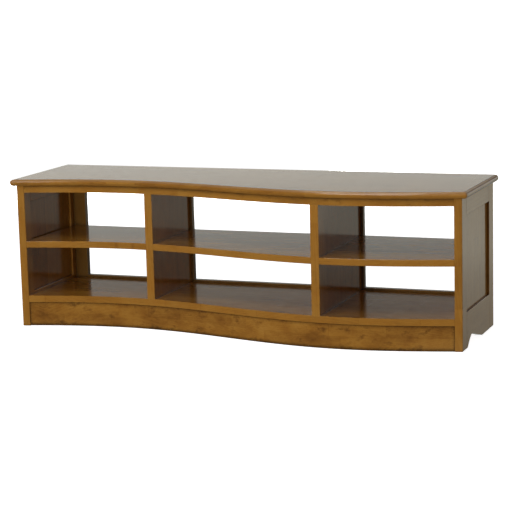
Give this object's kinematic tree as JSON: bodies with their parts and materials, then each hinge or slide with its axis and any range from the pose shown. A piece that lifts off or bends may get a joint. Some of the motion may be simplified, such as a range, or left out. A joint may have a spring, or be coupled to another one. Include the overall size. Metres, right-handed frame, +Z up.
{
  "type": "open television bench",
  "caption": "Low open television bench in solid wood with a serpentine front, bullnose top, framed ends, dividers, fixed shelves and a curved plinth.",
  "frame": {"origin": "middle of the footprint on the floor: halfway along the top's width and halfway between the top's rear edge and the furthest point of its curved front", "axes": "+X along the length, to the right as seen from the front; +Y towards the back; +Z up"},
  "size_m": [1.566, 0.4762, 0.5],
  "materials": {
    "top_wood": "semi-gloss amber lacquer over stained solid hardwood",
    "frame_wood": "semi-gloss amber lacquer over stained solid hardwood",
    "shelf_wood": "semi-gloss amber lacquer over stained finger-jointed hardwood",
    "back_wood": "satin amber lacquer over stained solid hardwood",
    "inner_wood": "bare or thinly sealed hardwood, hidden",
    "dowel_wood": "bare beech, glued",
    "screw_steel": "zinc plated"
  },
  "bodies": {
    "root": {"top_board": "top_wood", "front_rail": "frame_wood", "plinth_board": "frame_wood", "left_front_stile": "frame_wood", "left_rear_stile": "frame_wood", "right_front_stile": "frame_wood", "right_rear_stile": "frame_wood", "left_top_rail": "frame_wood", "left_bottom_rail": "frame_wood", "right_top_rail": "frame_wood", "right_bottom_rail": "frame_wood", "left_panel": "frame_wood", "right_panel": "frame_wood", "bottom_shelf": "shelf_wood", "left_shelf": "shelf_wood", "centre_shelf": "shelf_wood", "right_shelf": "shelf_wood", "left_divider": "shelf_wood", "right_divider": "shelf_wood", "back_left_stile": "back_wood", "back_left_mid_stile": "back_wood", "back_right_mid_stile": "back_wood", "back_right_stile": "back_wood", "back_top_rail": "back_wood", "back_bottom_rail": "back_wood", "centre_support": "inner_wood", "left_corner_block": "inner_wood", "right_corner_block": "inner_wood", "left_end_cleat": "inner_wood", "left_divider_cleat": "inner_wood", "right_divider_cleat": "inner_wood", "right_end_cleat": "inner_wood", "shelf_dowels": "dowel_wood", "divider_dowels": "dowel_wood", "carcase_dowels": "dowel_wood", "cleat_screws": "screw_steel", "top_screws": "screw_steel", "back_frame_screws": "screw_steel"}
  },
  "joints": []
}
